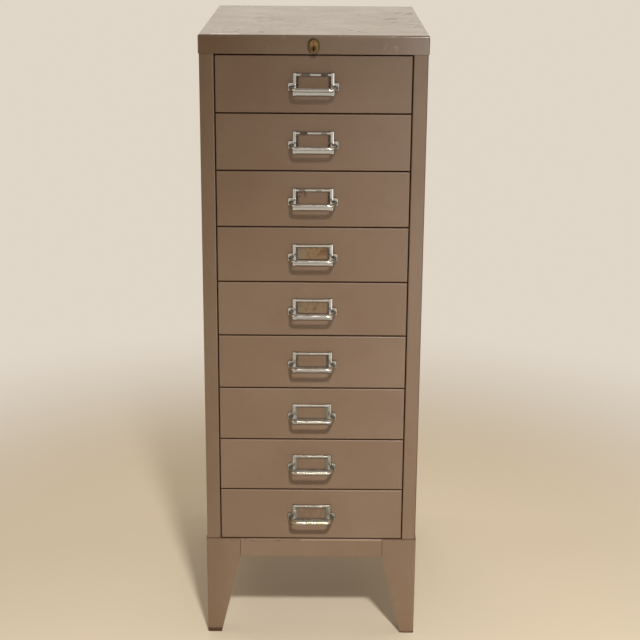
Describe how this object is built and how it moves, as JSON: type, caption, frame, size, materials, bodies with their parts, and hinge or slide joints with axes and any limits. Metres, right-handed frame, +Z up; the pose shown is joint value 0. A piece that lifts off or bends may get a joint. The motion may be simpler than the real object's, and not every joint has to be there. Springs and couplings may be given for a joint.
{
  "type": "engineers cabinet",
  "caption": "Tall steel engineers cabinet with equal shallow drawers, card-frame pulls, a key lock that lifts a gang bar, and a stand with tapered legs.",
  "frame": {"origin": "on the floor, under the middle of the cabinet's whole box, pulls included", "axes": "+Z up, +X to the right seen from the front, -Y out of the drawer fronts"},
  "size_m": [0.399, 0.5632, 1.1469],
  "materials": {
    "painted_steel": "semi-gloss taupe enamel, rubbed and scratched",
    "bare_steel": "dull plated steel",
    "chrome_plate": "chrome plate, lightly tarnished",
    "lock_brass": "worn brass",
    "dark_bronze": "darkened brass"
  },
  "bodies": {
    "cabinet": {"left_side_panel": "painted_steel", "right_side_panel": "painted_steel", "back_panel": "painted_steel", "floor_panel": "painted_steel", "top_cap": "painted_steel", "front_top_rail": "painted_steel", "left_runners": "bare_steel", "right_runners": "bare_steel", "lock_body": "lock_brass", "lock_plate": "dark_bronze", "spindle_bracket": "bare_steel", "lock_bar_guides": "bare_steel", "front_stand_rail": "painted_steel", "rear_stand_rail": "painted_steel", "left_stand_rail": "painted_steel", "right_stand_rail": "painted_steel", "front_left_leg": "painted_steel", "front_right_leg": "painted_steel", "rear_left_leg": "painted_steel", "rear_right_leg": "painted_steel", "stand_bolts": "bare_steel"},
    "drawer_1": {"drawer_1_front": "painted_steel", "drawer_1_tray": "painted_steel", "drawer_1_label_frame": "chrome_plate", "drawer_1_pull_loop": "chrome_plate"},
    "drawer_2": {"drawer_2_front": "painted_steel", "drawer_2_tray": "painted_steel", "drawer_2_label_frame": "chrome_plate", "drawer_2_pull_loop": "chrome_plate"},
    "drawer_3": {"drawer_3_front": "painted_steel", "drawer_3_tray": "painted_steel", "drawer_3_label_frame": "chrome_plate", "drawer_3_pull_loop": "chrome_plate"},
    "drawer_4": {"drawer_4_front": "painted_steel", "drawer_4_tray": "painted_steel", "drawer_4_label_frame": "chrome_plate", "drawer_4_pull_loop": "chrome_plate"},
    "drawer_5": {"drawer_5_front": "painted_steel", "drawer_5_tray": "painted_steel", "drawer_5_label_frame": "chrome_plate", "drawer_5_pull_loop": "chrome_plate"},
    "drawer_6": {"drawer_6_front": "painted_steel", "drawer_6_tray": "painted_steel", "drawer_6_label_frame": "chrome_plate", "drawer_6_pull_loop": "chrome_plate"},
    "drawer_7": {"drawer_7_front": "painted_steel", "drawer_7_tray": "painted_steel", "drawer_7_label_frame": "chrome_plate", "drawer_7_pull_loop": "chrome_plate"},
    "drawer_8": {"drawer_8_front": "painted_steel", "drawer_8_tray": "painted_steel", "drawer_8_label_frame": "chrome_plate", "drawer_8_pull_loop": "chrome_plate"},
    "drawer_9": {"drawer_9_front": "painted_steel", "drawer_9_tray": "painted_steel", "drawer_9_label_frame": "chrome_plate", "drawer_9_pull_loop": "chrome_plate"},
    "turning_lock": {"lock_plug": "lock_brass", "lock_spindle": "bare_steel"},
    "locking_bar": {"lock_bar": "bare_steel"}
  },
  "joints": [
    {"name": "drawer_1_slide", "type": "slide", "parent": "cabinet", "child": "drawer_1", "axis": [0, -1, 0], "range_m": [0, 0.4]},
    {"name": "drawer_2_slide", "type": "slide", "parent": "cabinet", "child": "drawer_2", "axis": [0, -1, 0], "range_m": [0, 0.4]},
    {"name": "drawer_3_slide", "type": "slide", "parent": "cabinet", "child": "drawer_3", "axis": [0, -1, 0], "range_m": [0, 0.4]},
    {"name": "drawer_4_slide", "type": "slide", "parent": "cabinet", "child": "drawer_4", "axis": [0, -1, 0], "range_m": [0, 0.4]},
    {"name": "drawer_5_slide", "type": "slide", "parent": "cabinet", "child": "drawer_5", "axis": [0, -1, 0], "range_m": [0, 0.4]},
    {"name": "drawer_6_slide", "type": "slide", "parent": "cabinet", "child": "drawer_6", "axis": [0, -1, 0], "range_m": [0, 0.4]},
    {"name": "drawer_7_slide", "type": "slide", "parent": "cabinet", "child": "drawer_7", "axis": [0, -1, 0], "range_m": [0, 0.4]},
    {"name": "drawer_8_slide", "type": "slide", "parent": "cabinet", "child": "drawer_8", "axis": [0, -1, 0], "range_m": [0, 0.4]},
    {"name": "drawer_9_slide", "type": "slide", "parent": "cabinet", "child": "drawer_9", "axis": [0, -1, 0], "range_m": [0, 0.4]},
    {"name": "lock_turn", "type": "hinge", "parent": "cabinet", "child": "turning_lock", "pos_m": [0, -0.2524, 1.1247], "axis": [0, 1, 0], "range_deg": [0, 90]},
    {"name": "lock_bar_lift", "type": "slide", "parent": "cabinet", "child": "locking_bar", "axis": [0, 0, 1], "range_m": [0, 0.01131]}
  ],
  "couplings": [
    {"joint": "lock_turn", "follows": "lock_bar_lift", "rad_per_m": 138.84}
  ]
}
